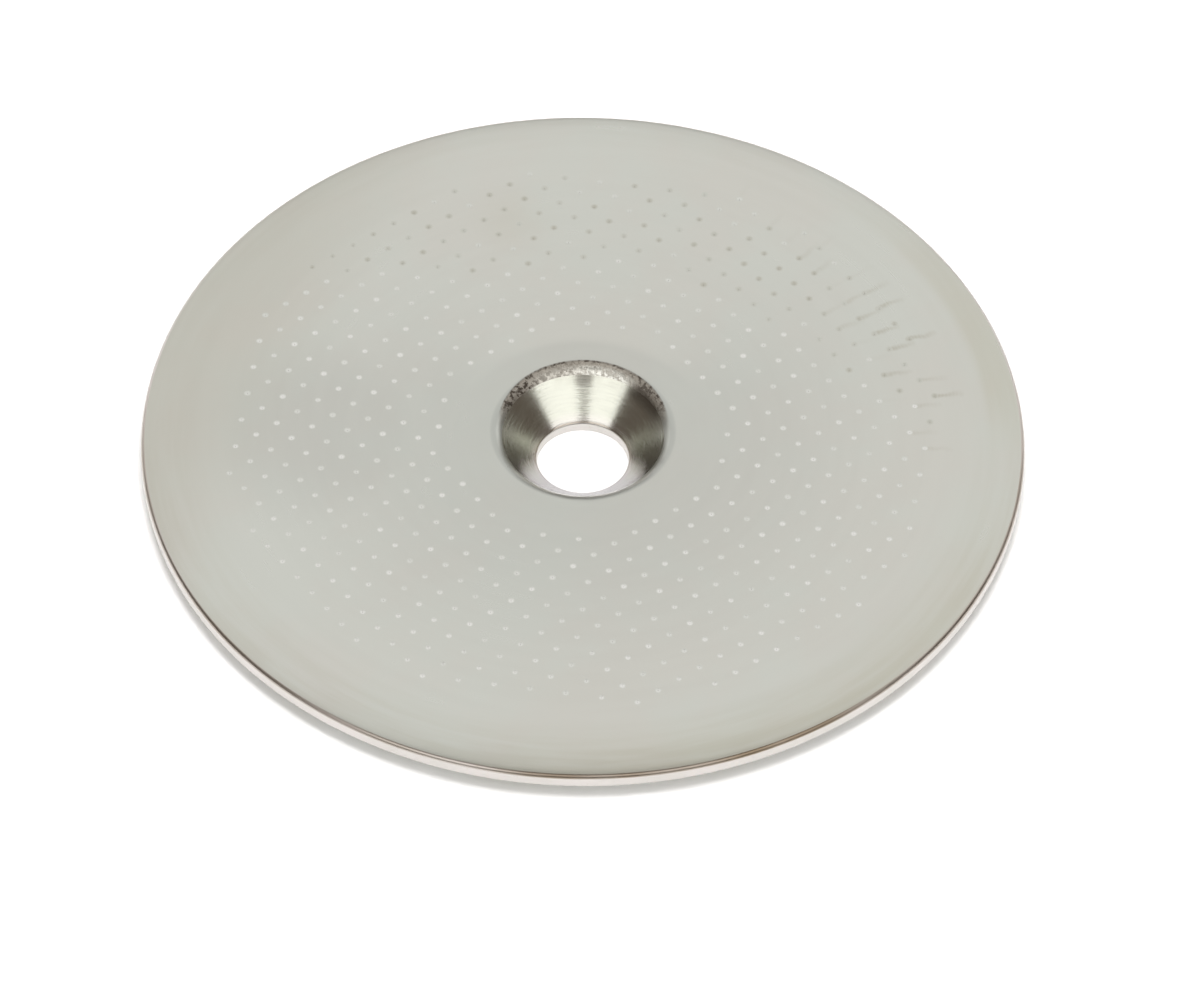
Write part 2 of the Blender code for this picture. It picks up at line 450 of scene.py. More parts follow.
def band_plan(outline, radius):
    """Rings between a stepped outline and a circle: radius and angle both go evenly from the
    outline's own to the circle's. The corners that stand out towards the circle keep their angles
    on it, and the points between two of them are spaced evenly, so that no two rows cross."""
    before = outline - np.roll(outline, 1, axis=0)
    after = np.roll(outline, -1, axis=0) - outline
    outward = np.sign(radius - np.hypot(outline[:, 0], outline[:, 1]).mean())
    leftward = before[:, 0] * after[:, 1] - before[:, 1] * after[:, 0]
    kept = np.flatnonzero(outward * leftward > WELD**2)
    turns = np.arctan2(outline[:, 1], outline[:, 0])
    count = len(turns)
    laps = np.arange(-1, 2)[:, None]
    numbers = (kept + laps * count).ravel()
    ends = np.interp(np.arange(count), numbers, (turns[kept] + laps * 2 * math.pi).ravel())
    way = np.linspace(0, 1, BAND_STEPS + 1)
    radii = np.hypot(outline[:, 0], outline[:, 1])[:, None] * (1 - way) + radius * way
    angles = turns[:, None] * (1 - way) + ends[:, None] * way
    return np.stack([radii * np.cos(angles), radii * np.sin(angles)], axis=-1)[None]


def carried_round(profile, turns):
    """A profile of (radius, height) carried round the axis: radius times cosine, radius times sine,
    height."""
    radius, height = profile[:, 0], profile[:, 1]
    x = np.cos(turns)[:, None] * radius
    y = np.sin(turns)[:, None] * radius
    return np.stack([x, y, np.broadcast_to(height, x.shape)], axis=-1)[None]


def ringed(points):
    """Points and quads of surfaces held as (copies, around, across, 3), closed round the ring."""
    copies, around, across, _ = points.shape
    index = np.arange(copies * around * across).reshape(copies, around, across)
    after = np.roll(index, -1, axis=1)
    corners = [index[..., :-1], after[..., :-1], after[..., 1:], index[..., 1:]]
    return points.reshape(-1, 3), np.stack(corners, axis=-1).reshape(-1, 4)


def rim_profile(sizes, form):
    """From the start of the roll over the top, round the edge, and back under the seat. The roll
    falls by its slope times the distance plus its bend times the distance squared."""
    bend = (sizes.rim_drop - form.crown_slope * sizes.rim_width) / sizes.rim_width**2
    tilt = math.atan(form.crown_slope + 2 * bend * sizes.rim_width)
    roll_width = sizes.rim_width - sizes.edge_round * (1 - math.sin(tilt))
    distance = np.linspace(0, roll_width, ROLL_STEPS + 1)
    fall = form.crown_slope * distance + bend * distance**2
    roll = np.column_stack([form.roll_start + distance, form.face_height - fall])
    centre = (form.radius - sizes.edge_round, roll[-1, 1] - sizes.edge_round * math.cos(tilt))
    edge = arc(centre, sizes.edge_round, math.pi / 2 - tilt, 0, EDGE_STEPS)
    seat_height = form.back_height - sizes.rim_drop
    low_centre = (form.radius - sizes.edge_under, seat_height + sizes.edge_under)
    low = arc(low_centre, sizes.edge_under, 0, -math.pi / 2, EDGE_STEPS)
    seat_end = (form.radius - sizes.seat_width, seat_height)
    inner = broken_corner(low[-1], seat_end, (form.roll_start, form.back_height), sizes.arris)
    under = straight(inner[-1], (form.roll_start, form.back_height), FLAT_STEPS)
    return [
        (FACE, roll),
        (EDGE, edge),
        (EDGE, straight(edge[-1], low[0], FLAT_STEPS)),
        (EDGE, low),
        (BACK, straight(low[-1], inner[0], FLAT_STEPS)),
        (BACK, inner),
        (BACK, under),
    ]


def dish_profile(sizes, form):
    """From the apron's underside down the back of the dish to its foot, up the screw hole's wall, up
    the countersink and round the shoulder to the apron."""
    slope = form.wall_slope
    centre = (form.dish_radius, form.face_height - sizes.shoulder_radius)
    turned = (math.pi / 2, math.pi / 2 + slope)
    bend = arc(centre, sizes.shoulder_radius - sizes.sheet, *turned, BEND_STEPS)
    shoulder = arc(centre, sizes.shoulder_radius, *turned[::-1], SHOULDER_STEPS)
    foot_out = (form.hole_radius + sizes.foot_width, 0.0)
    foot_in = (form.hole_radius, 0.0)
    lip = (form.hole_radius, form.lip_height)
    outer = broken_corner(bend[-1], foot_out, foot_in, sizes.arris)
    inner = broken_corner(foot_out, foot_in, lip, sizes.arris)
    mouth = broken_corner(foot_in, lip, shoulder[0], sizes.arris)
    return [
        (BACK, straight((form.apron_radius, form.back_height), bend[0], 1)),
        (BACK, bend),
        (BACK, straight(bend[-1], outer[0], CONE_STEPS)),
        (BACK, outer),
        (BACK, straight(outer[-1], inner[0], FLAT_STEPS)),
        (EDGE, inner),
        (EDGE, straight(inner[-1], mouth[0], FLAT_STEPS)),
        (EDGE, mouth),
        (DISH, straight(mouth[-1], shoulder[0], CONE_STEPS)),
        (FACE, shoulder),
        (FACE, straight(shoulder[-1], (form.apron_radius, form.face_height), 1)),
    ]


def chattered(points, sizes, form):
    """The shoulder's unevenness: heights shift by a sum of cosines round the axis, times a window
    that is nothing at the dish's wall and dies out towards the apron."""
    chance = np.random.default_rng(sizes.seed)
    turns = np.arctan2(points[..., 1], points[..., 0])
    radius = np.hypot(points[..., 0], points[..., 1])
    waves = np.arange(*CHATTER_WAVES)
    phases = chance.uniform(0, 2 * math.pi, len(waves))
    ripple = np.cos(turns[..., None] * waves + phases).sum(axis=-1) / math.sqrt(len(waves))
    inside = form.dish_radius - sizes.shoulder_radius * math.sin(form.wall_slope)
    way = np.clip((radius - inside) / (form.dish_radius - inside), 0, 1)
    rough = points.copy()
    rough[..., 2] += sizes.chatter * ripple * np.sin(math.pi * way) ** 2 * (1 - way)
    return rough


def stained_share(middles, chance):
    """How stained each perforation is: chance, raised where water has dried, which is beyond two
    straight fronts that cross the field at the back and at the back right, and lowered again in the
    outermost rows at the back."""
    fronts = np.array([facing(side)[:2] for side in STAIN_FRONTS])
    reach = (middles @ fronts.T * PER_METRE).max(axis=1)
    lean = MOST_STAINED * np.clip((reach - STAIN_START) / STAIN_FADE, 0, 1)
    radius = np.hypot(middles[:, 0], middles[:, 1]) * PER_METRE
    behind = middles[:, 1] > STAIN_BACK_SLOPE * middles[:, 0]
    lean = lean * (1 - np.interp(radius, STAIN_END, (0.0, STAIN_THINNED)) * behind)
    count = len(middles)
    return np.where(chance.uniform(0, 1, count) < lean, chance.uniform(*STAIN_STRENGTH, count), 0)


def disc_surfaces(sizes, form):
    """Every patch of the skin: its finish, its points, and how stained and how bare each is."""
    chance = np.random.default_rng(sizes.seed)
    grid, held = held_cells(sizes, form)
    middles = in_disc_frame(grid[held], sizes.lattice_turn)
    count = len(middles)
    mouth_radius = sizes.mouth_diameter / 2 * chance.uniform(*MOUTH_SPREAD, count)
    stained = stained_share(middles, chance)[:, None, None]
    plans = cell_plans(sizes, grid[held], mouth_radius)
    plans = in_disc_frame(plans, sizes.lattice_turn)
    walls = sleeve_rings(sizes, form, grid[held], mouth_radius)
    walls[..., :2] = in_disc_frame(walls[..., :2], sizes.lattice_turn)
    top, under = form.face_height, form.back_height
    halo = stained * np.array([STAIN_HALO, 0.0, 0.0])
    inside = np.append(np.linspace(0, 1, DIMPLE_STEPS + 1), [1, 0])
    deep_stain = stained * (STAIN_HALO + (1 - STAIN_HALO) * np.minimum(2 * inside, 1))
    # Painted shade: mouths fade towards the back; their bare share is partly painted highlight
    back_shade = np.interp(middles[:, 1] * PER_METRE, BACK_SHADING, (1.0, MOST_SHADED))[:, None, None]
    bare = chance.uniform(*MOUTH_BRIGHTNESS, (count, 1, 1)) * back_shade * (stained == 0)
    surfaces = [
        (FACE, at_height(plans, top), halo, 0.0),
        (BACK, at_height(plans, under), halo, 0.0),
        (MOUTH, walls, deep_stain, np.minimum(1.6 * inside, 1) * bare),
    ]
    outer, inner = stepped_edges(grid, held, sizes, form)
    for outline, radius, profile in (
        (outer, form.roll_start, rim_profile(sizes, form)),
        (inner, form.apron_radius, dish_profile(sizes, form)),
    ):
        plan = band_plan(outline, radius)
        surfaces += [(FACE, at_height(plan, top), 0.0, 0.0), (BACK, at_height(plan, under), 0.0, 0.0)]
        turns = np.arctan2(plan[0, :, -1, 1], plan[0, :, -1, 0])
        for finish, section in profile:
            points = carried_round(section, turns)
            if profile[0][0] == BACK and finish == FACE:
                points = chattered(points, sizes, form)
            surfaces.append((finish, points, 0.0, 0.0))
    return [(finish, pressed(points, sizes, form), *marks) for finish, points, *marks in surfaces]


def disc_mesh(sizes):
    """The patches sewn into one closed skin."""
    points, faces, finishes = [], [], []
    shares = {"stained": [], "bare": []}
    start = 0
    for finish, surface, *marks in disc_surfaces(sizes, DiscForm(sizes)):
        corners, quads = ringed(surface)
        points.append(corners)
        faces.append(quads + start)
        finishes.append(np.full(len(quads), finish))
        for values, mark in zip(shares.values(), marks):
            values.append(np.broadcast_to(mark, surface.shape[:-1]).reshape(-1))
        start += len(corners)
    mesh = bpy.data.meshes.new("shower_screen_disc")
    mesh.from_pydata(np.concatenate(points), [], np.concatenate(faces))
    mesh.polygons.foreach_set("material_index", np.concatenate(finishes))
    for name, values in shares.items():
        attribute = mesh.attributes.new(name, "FLOAT", "POINT")
        attribute.data.foreach_set("value", np.concatenate(values).astype(np.float32))
    skin = bmesh.new()
    skin.from_mesh(mesh)
    bmesh.ops.remove_doubles(skin, verts=skin.verts, dist=WELD)
    bmesh.ops.recalc_face_normals(skin, faces=skin.faces)
    open_edges = sum(not edge.is_manifold for edge in skin.edges)
    skin.to_mesh(mesh)
    skin.free()
    if open_edges:
        raise RuntimeError(f"the disc's skin has {open_edges} open edges")
    mesh.shade_smooth()
    mesh.set_sharp_from_angle(angle=CRISP_ANGLE)
    return mesh


class Bench:
    """Puts nodes into one tree and links them."""

    def __init__(self, tree):
        self.tree = tree

    def put(self, kind, inputs=(), **settings):
        """Adds a node. Each input is a value, or an output to link."""
        node = self.tree.nodes.new(kind)
        for name, value in settings.items():
            setattr(node, name, value)
        for name, value in dict(inputs).items():
            self.fill(node.inputs[name], value)
        return node

    def fill(self, socket, value):
        """Links an output to the socket, or sets it to a value. A colour is made opaque."""
        if isinstance(value, bpy.types.NodeSocket):
            self.tree.links.new(value, socket)
        elif socket.type == "RGBA":
            socket.default_value = (*value, 1.0)
        else:
            socket.default_value = value

    def maths(self, operation, *values, kind="ShaderNodeMath", output="Value"):
        node = self.put(kind, operation=operation)
        for socket, value in zip(node.inputs, values):
            self.fill(socket, value)
        return node.outputs[output]

    def vector(self, operation, *values):
        scalar = operation in ("LENGTH", "DOT_PRODUCT", "DISTANCE")
        output = "Value" if scalar else "Vector"
        return self.maths(operation, *values, kind="ShaderNodeVectorMath", output=output)

    def times(self, value, *others):
        """The product of them all."""
        for other in others:
            value = self.maths("MULTIPLY", value, other)
        return value

    def most(self, value, *others):
        """The greatest of them all."""
        for other in others:
            value = self.maths("MAXIMUM", value, other)
        return value

    def plus(self, base, value, factor):
        """The base plus the value times the factor."""
        return self.maths("MULTIPLY_ADD", value, factor, base)

    def scaled(self, vector, factor):
        node = self.put("ShaderNodeVectorMath", {"Scale": factor}, operation="SCALE")
        self.fill(node.inputs[0], vector)
        return node.outputs["Vector"]

    def parts(self, vector):
        return self.put("ShaderNodeSeparateXYZ", {"Vector": vector}).outputs

    def span(self, value, low, high, first=0.0, last=1.0):
        """A smooth step from first to last as the value goes from low to high."""
        inputs = {"Value": value, "From Min": low, "From Max": high, "To Min": first, "To Max": last}
        return self.put("ShaderNodeMapRange", inputs, interpolation_type="SMOOTHSTEP").outputs[0]

    def noise(self, vector, scale, detail, roughness):
        inputs = {"Vector": vector, "Scale": scale, "Detail": detail, "Roughness": roughness}
        return self.put("ShaderNodeTexNoise", inputs).outputs[0]

    def blotches(self, place, detail, roughness):
        """Noise whose blotches have the group's size in millimetres."""
        scale = self.maths("DIVIDE", 1.0, self.given["Size"])
        return self.noise(self.group(place)["Millimetres"], scale, detail, roughness)

    def mark(self, name):
        """How stained or bare the mesh says that a point is."""
        return self.put("ShaderNodeAttribute", attribute_name=name).outputs["Fac"]

    def layered(self, tone, *layers):
        """A colour with others laid over it in turn, each by its own mask."""
        for mask, over in layers:
            node = self.put("ShaderNodeMix", data_type="RGBA")
            sockets = {socket.identifier: socket for socket in (*node.inputs, *node.outputs)}
            self.fill(sockets["Factor_Float"], mask)
            self.fill(sockets["A_Color"], tone)
            self.fill(sockets["B_Color"], over)
            tone = sockets["Result_Color"]
        return tone

    def give(self, name, value):
        """Puts a value out of the node group."""
        self.fill(self.result[name], value)

    def group(self, tree, **inputs):
        """Places a node group. Input names are given with underscores for spaces."""
        node = self.put("ShaderNodeGroup", node_tree=tree)
        for name, value in inputs.items():
            self.fill(node.inputs[name.replace("_", " ").capitalize()], value)
        return node.outputs

    def effect(self, name, **inputs):
        """The mask of one of the effects that the materials share."""
        return self.group(self.groups[name], **inputs)[0]


def new_group(name, inputs, outputs):
    """A node group with number inputs, and the bench to fill it on."""
    tree = bpy.data.node_groups.new(name, "ShaderNodeTree")
    for label, default in inputs.items():
        socket = tree.interface.new_socket(
            name=label, in_out="INPUT", socket_type="NodeSocketFloat"
        )
        socket.default_value = default
    for label, kind in outputs.items():
        tree.interface.new_socket(name=label, in_out="OUTPUT", socket_type=f"NodeSocket{kind}")
    bench = Bench(tree)
    bench.given = tree.nodes.new("NodeGroupInput").outputs
    bench.result = tree.nodes.new("NodeGroupOutput").inputs
    return bench


def place_group(sizes):
    """Where a point lies: in millimetres, as its radius, as the unit spoke towards it, as its depth
    under the lowest part of the roll, and as its distance from the middle of the scuffs."""
    crest = DiscForm(sizes).face_height - sizes.crown - sizes.rim_drop
    outputs = {
        "Millimetres": "Vector",
        "Radius": "Float",
        "Spoke": "Vector",
        "Depth": "Float",
        "Scuff radius": "Float",
    }
    bench = new_group("Disc place", {}, outputs)
    point = bench.put("ShaderNodeTexCoord").outputs["Object"]
    millimetres = bench.scaled(point, PER_METRE)
    flat = bench.vector("MULTIPLY", millimetres, LEVEL)
    height = bench.parts(millimetres)["Z"]
    bench.give("Millimetres", millimetres)
    bench.give("Radius", bench.vector("LENGTH", flat))
    bench.give("Spoke", bench.vector("NORMALIZE", flat))
    bench.give("Depth", bench.maths("SUBTRACT", crest * PER_METRE, height))
    bench.give("Scuff radius", bench.vector("DISTANCE", flat, SCUFF_MIDDLE))
    return bench.tree


def lines_group(place):
    """Fine rings left by turning: noise that changes fast with radius and slowly round the axis."""
    bench = new_group("Turned lines", {"Per millimetre": 8.0, "Wander": 3.0}, {"Lines": "Float"})
    at = bench.group(place)
    out = bench.times(at["Radius"], bench.given["Per millimetre"])
    up = bench.put("ShaderNodeCombineXYZ", {"Z": out}).outputs[0]
    around = bench.scaled(at["Spoke"], bench.given["Wander"])
    lines = bench.noise(bench.vector("ADD", around, up), 1.0, 3.0, 0.6)
    bench.give("Lines", bench.span(lines, 0.3, 0.7))
    return bench.tree


def grain_group(place):
    """The rolled sheet's fine grain, even in every direction."""
    bench = new_group("Sheet grain", {"Size": 0.08}, {"Grain": "Float"})
    bench.give("Grain", bench.blotches(place, 4.0, 0.65))
    return bench.tree


def film_group(place):
    """Thin film of dried water: broad cloudy patches."""
    bench = new_group("Water film", {"Size": 8.0, "Amount": 0.5}, {"Film": "Float"})
    cloud = bench.span(bench.blotches(place, 5.0, 0.55), 0.36, 0.66)
    bench.give("Film", bench.times(cloud, bench.given["Amount"]))
    return bench.tree


def scuffs_group(place):
    """Scuffs and nicks with crisp edges."""
    bench = new_group("Scuffs", {"Size": 0.5, "Amount": 0.5}, {"Scuffs": "Float"})
    low = bench.plus(0.66, bench.given["Amount"], -0.3)
    high = bench.maths("ADD", low, 0.2)
    bench.give("Scuffs", bench.span(bench.blotches(place, 4.0, 0.7), low, high))
    return bench.tree


def drag_group(place, sizes):
    """Brown marks dragged outwards from the perforations beyond their own front. A point is
    marked if a point a little way in along its spoke lies in a perforation, and less so the further
    in that is. Each perforation has its own strength."""
    bench = new_group("Drag marks", {"Reach": 1.7, "Width": 0.3}, {"Marks": "Float"})
    at = bench.group(place)
    pitch = sizes.pitch * PER_METRE
    turn = sizes.lattice_turn
    last = DiscForm(sizes).field_outer * PER_METRE
    front = facing(DRAG_FRONT - math.degrees(turn))
    cloud = bench.put("ShaderNodeTexNoise", {"Vector": at["Millimetres"], "Scale": 0.9})
    bend = bench.vector("SUBTRACT", cloud.outputs["Color"], (0.5, 0.5, 0.5))
    wandered = bench.vector("ADD", at["Millimetres"], bench.scaled(bend, 0.5))
    marks = 0.0
    for way in np.linspace(0, 1, DRAG_STEPS).tolist():
        back = bench.times(bench.given["Reach"], -way)
        inward = bench.vector("ADD", wandered, bench.scaled(at["Spoke"], back))
        turned = bench.put(
            "ShaderNodeVectorRotate", {"Vector": inward, "Angle": -turn}, rotation_type="Z_AXIS"
        ).outputs[0]
        number = bench.vector("FLOOR", bench.vector("MULTIPLY", turned, (1 / pitch, 1 / pitch, 0.0)))
        site = bench.scaled(bench.vector("ADD", number, (0.5, 0.5, 0.0)), pitch)
        miss = bench.vector("DISTANCE", bench.vector("MULTIPLY", turned, LEVEL), site)
        spot = bench.span(miss, 0.0, bench.given["Width"], 1.0 - 0.75 * way, 0.0)
        chance = bench.put("ShaderNodeTexWhiteNoise", {"Vector": number}).outputs["Value"]
        held = bench.span(bench.vector("LENGTH", site), last, last + 0.1, 1.0, 0.0)
        reach = bench.vector("DOT_PRODUCT", site, front)
        beyond = bench.span(reach, DRAG_START, DRAG_START + STAIN_FADE)
        marks = bench.most(marks, bench.times(spot, bench.span(chance, 0.25, 0.9), held, beyond))
    bench.give("Marks", marks)
    return bench.tree


def new_material(name):
    """A material and the bench to finish it on."""
    material = bpy.data.materials.new(name)
    material.use_nodes = True
    bench = Bench(material.node_tree)
    bench.shader = material.node_tree.nodes["Principled BSDF"].inputs
    return material, bench


def new_steel(name, groups):
    """A metal material, the bench to finish it on, and where its points lie."""
    material, bench = new_material(name)
    bench.groups = groups
    bench.fill(bench.shader["Metallic"], 1.0)
    return material, bench, bench.group(groups["place"])


def finish_with(bench, tone, roughness, height, relief):
    """Gives the shader its tone and roughness, and a bump whose full height is the relief."""
    bench.fill(bench.shader["Base Color"], tone)
    bench.fill(bench.shader["Roughness"], roughness)
    bump = bench.put("ShaderNodeBump", {"Height": height, "Distance": relief, "Strength": 1.0})
    bench.fill(bench.shader["Normal"], bump.outputs[0])


def tan_tint(bench, at, flat, film):
    """Mask of the tan film: by the rim towards the front right, in a crisp band at the back right,
    and in one cloudy blotch."""
    spoke = bench.parts(at["Spoke"])
    aside = bench.vector("DOT_PRODUCT", at["Spoke"], facing(TINT_SIDE))
    by_rim = bench.times(bench.span(at["Radius"], *RIM_BAND), bench.span(aside, 0.62, 0.92), 0.62)
    back_right = bench.times(bench.span(spoke["X"], 0.6, 0.95), bench.span(spoke["Y"], -0.1, 0.2))
    dried = bench.times(back_right, bench.span(at["Radius"], *DRIED_BAND, 0.0, 0.8))
    near_blotch = bench.span(bench.vector("DISTANCE", flat, BLOTCH), 4.0, 0.5)
    blotch = bench.times(near_blotch, bench.plus(0.4, film, 0.6), 0.45)
    return bench.most(by_rim, dried, blotch)


def dull_areas(bench, at, flat):
    """Mask of the duller steel: towards the dish, less so behind it, and in a patch at the left; and
    of painted shade in a ring where the shoulder starts."""
    radius = at["Radius"]
    behind = bench.times(bench.span(radius, *HAZE_BACK), bench.parts(at["Spoke"])["Y"])
    haze = bench.times(bench.span(radius, *HAZE), 0.35, bench.span(behind, 0.3, 1.0, 1.0, 0.2))
    patch = bench.span(bench.vector("DISTANCE", flat, DULL_PATCH), 11.0, 3.0, 0.0, 0.35)
    # Painted shade: the ring where the shoulder starts to turn down
    turning_shade = bench.times(
        bench.span(radius, *SHADE_RING_OUTER), bench.span(radius, *SHADE_RING_INNER, 0.0, 0.75)
    )
    return bench.most(haze, patch, turning_shade)


def far_shoulder(bench, at, scuffs):
    """Masks of the far side of the dish's shoulder: its scuffed width, its burnished inner part with
    a painted highlight, and painted shade in its crease, in flecks over its width and at its right
    end."""
    spoke = bench.parts(at["Spoke"])
    out = at["Scuff radius"]
    far = bench.span(spoke["Y"], 0.15, 0.5)
    left = bench.span(spoke["X"], 0.12, -0.25)
    width = bench.times(bench.span(out, *SCUFFED), far)
    # Burnish and painted highlight: the brighter inner shoulder, on the far side only
    burnished_highlight = bench.times(bench.span(out, *BURNISHED_HIGHLIGHT), bench.span(spoke["Y"], 0.72, 0.88))
    burnished_highlight = bench.times(burnished_highlight, bench.plus(1.0, left, -0.6))
    # Painted shade: the crease mirrors the dark room above
    crease = bench.times(bench.span(out, *CREASE_OUTER), bench.span(out, *CREASE_INNER), far)
    crease = bench.times(crease, bench.span(scuffs, 0.0, 1.0, 0.5, 1.0))
    sideways = bench.span(bench.maths("ABSOLUTE", spoke["X"]), 0.42, 0.7)
    flecks = bench.plus(bench.plus(0.25, left, 0.22), sideways, 0.6)
    flecks = bench.times(flecks, width, bench.span(scuffs, 0.0, 0.8, 0.3, 1.0))
    # Painted shade at the right end, held with the crease and flecks in one mask
    right_end_shade = bench.times(bench.span(out, *END_SHADE), bench.span(spoke["X"], 0.5, 0.65), far, 0.8)
    shoulder_shade = bench.times(bench.most(crease, flecks, right_end_shade), bench.plus(1.0, burnished_highlight, -1.0))
    return width, burnished_highlight, shoulder_shade


def satin_face(finish, groups):
    """Satin sheet with a thin film, turned lines and a tan tint by the rim, drag marks at the back
    right, and a shoulder round the dish that is scuffed on its far side. Painted shade lies in the
    shoulder's crease and in a ring round it, painted highlights on its near side and burnished part."""
    material, bench, at = new_steel("satin_face", groups)
    grain = bench.effect("grain", size=0.14)
    lines = bench.effect("lines", per_millimetre=1.6, wander=2.5)
    film = bench.effect("film", size=7.0, amount=0.6)
    marks = bench.effect("drag", reach=1.7, width=0.3)
    scuffs = bench.effect("scuffs", size=0.3, amount=0.75)
    flat = bench.vector("MULTIPLY", at["Millimetres"], LEVEL)
    y = bench.parts(at["Spoke"])["Y"]
    by_rim = bench.span(at["Radius"], *RIM_BAND)
    streaks = bench.times(lines, by_rim, bench.plus(0.08, bench.span(y, 0.3, -0.95), 0.22))
    tint = bench.plus(streaks, tan_tint(bench, at, flat, film), 0.42)
    veil = bench.vector("DOT_PRODUCT", at["Millimetres"], facing(VEIL_SIDE))
    worn = bench.times(bench.span(veil, *VEIL), 0.27)
    worn = bench.most(worn, bench.times(marks, 0.6), bench.times(bench.mark("stained"), 0.7))
    # Painted highlight: bare bright steel on the near side of the shoulder
    near_highlight = bench.times(bench.span(at["Radius"], *NEAR_HIGHLIGHT), bench.span(y, -0.4, -0.8))
    shoulder, burnished_highlight, shoulder_shade = far_shoulder(bench, at, scuffs)
    tone = bench.layered(
        finish.steel,
        (film, finish.warm_steel),
        (tint, finish.rim_stain),
        (dull_areas(bench, at, flat), finish.haze),
        (worn, finish.stain),
        (near_highlight, finish.bare),
        (shoulder, finish.scuffed),
        (bench.times(burnished_highlight, bench.span(scuffs, 0.0, 1.0, 1.0, 0.45)), finish.burnished_highlight),
        # Painted shade on the far shoulder
        (shoulder_shade, finish.crease),
    )
    rubbed = bench.times(shoulder, bench.span(scuffs, 0.0, 1.0, 0.08, 0.30))
    gloss = bench.plus(bench.plus(finish.face_roughness - 0.03, lines, 0.05), film, 0.05)
    gloss = bench.maths("ADD", rubbed, gloss)
    gloss = bench.plus(gloss, burnished_highlight, finish.dish_roughness - finish.face_roughness)
    hammered = bench.plus(bench.times(lines, by_rim, 0.25), bench.times(scuffs, shoulder), 4.0)
    finish_with(bench, tone, gloss, bench.plus(hammered, grain, 0.5), relief=3e-6)
    return material


def polished_dish(finish, groups):
    """Burnished countersink: fine turned lines, dark smears that thicken towards its top, painted
    shade near the top of its right end, and a painted dark reflection of the gap between the front
    lamps down its middle at the back.
    """
    material, bench, at = new_steel("polished_dish", groups)
    lines = bench.effect("lines", per_millimetre=9.0, wander=3.0)
    scuffs = bench.effect("scuffs", size=0.3, amount=0.3)
    film = bench.effect("film", size=2.0, amount=0.5)
    radius = at["Radius"]
    smear = bench.times(bench.most(scuffs, film), bench.span(radius, *SMEARS))
    x, y = (bench.parts(at["Spoke"])[name] for name in "XY")
    # Painted shade near the top of the right end
    right_end_shade = bench.times(bench.span(x, 0.5, 0.7), bench.span(y, 0.2, 0.45))
    right_end_shade = bench.times(right_end_shade, bench.span(radius, 4.5, 5.2, 0.0, 0.6))
    # Painted reflection: the dark gap between the two front lamps, down the middle at the back
    middle = bench.span(bench.maths("ABSOLUTE", x), 0.16, 0.06)
    middle = bench.times(middle, bench.span(y, 0.0, 0.5), bench.span(radius, 4.5, 5.1, 0.0, 0.55))
    tone = bench.layered(
        finish.bright,
        (bench.times(smear, 0.5), finish.stain),
        (bench.most(right_end_shade, middle), finish.crease),
        (bench.span(radius, *LIP, 0.6, 0.0), finish.cut),
        (bench.span(radius, *LIP_LINE, 0.55, 0.0), finish.brown),
    )
    bench.fill(bench.shader["Specular Tint"], finish.grazed)
    gloss = bench.plus(bench.plus(finish.dish_roughness, lines, 0.05), smear, 0.12)
    finish_with(bench, tone, gloss, lines, relief=4e-6)
    return material


def cut_edge(finish, groups):
    """Blanked edges: bright, with a drawn grain and small nicks, and a brown line of painted shade
    round the top of the disc's edge, strongest on the near side."""
    material, bench, at = new_steel("cut_edge", groups)
    grain = bench.effect("grain", size=0.05)
    film = bench.effect("film", size=3.0, amount=0.4)
    scuffs = bench.effect("scuffs", size=0.35, amount=0.25)
    # Painted shade: the edge's top mirrors the dark room above, most on the near side
    edge_shade = bench.times(bench.span(at["Radius"], *EDGE_LINE_SHADE), bench.span(at["Depth"], *EDGE_SHADE_DEPTH))
    edge_shade = bench.times(edge_shade, bench.span(bench.parts(at["Spoke"])["Y"], 0.3, -0.1))
    edge_shade = bench.times(edge_shade, bench.span(bench.noise(at["Spoke"], 3.0, 3.0, 0.6), 0.3, 0.7, 0.6, 1.0))
    aside = bench.vector("DOT_PRODUCT", at["Spoke"], facing(EDGE_SHADE_SIDE))
    edge_shade = bench.times(edge_shade, bench.span(aside, 0.85, 0.97, 0.6, 1.0))
    tone = bench.layered(
        finish.cut,
        (film, finish.warm_steel),
        (bench.times(scuffs, 0.5), finish.rim_stain),
        (edge_shade, finish.brown),
    )
    gloss = bench.plus(finish.edge_roughness - 0.06, grain, 0.12)
    finish_with(bench, tone, gloss, bench.maths("SUBTRACT", grain, scuffs), relief=4e-6)
    return material


def clean_mouth(finish, groups):
    """Mouths and bores: bare steel that is partly a painted highlight and fades as painted shade
    towards the back, or brown where the mesh says that a perforation is stained.
    """
    material, bench, _ = new_steel("clean_mouth", groups)
    grain = bench.effect("grain", size=0.03)
    stained = bench.times(bench.mark("stained"), 0.7)
    tone = bench.layered(finish.steel, (bench.mark("bare"), finish.bare), (stained, finish.stain))
    finish_with(bench, tone, bench.plus(0.2, grain, 0.2), grain, relief=2e-6)
    return material


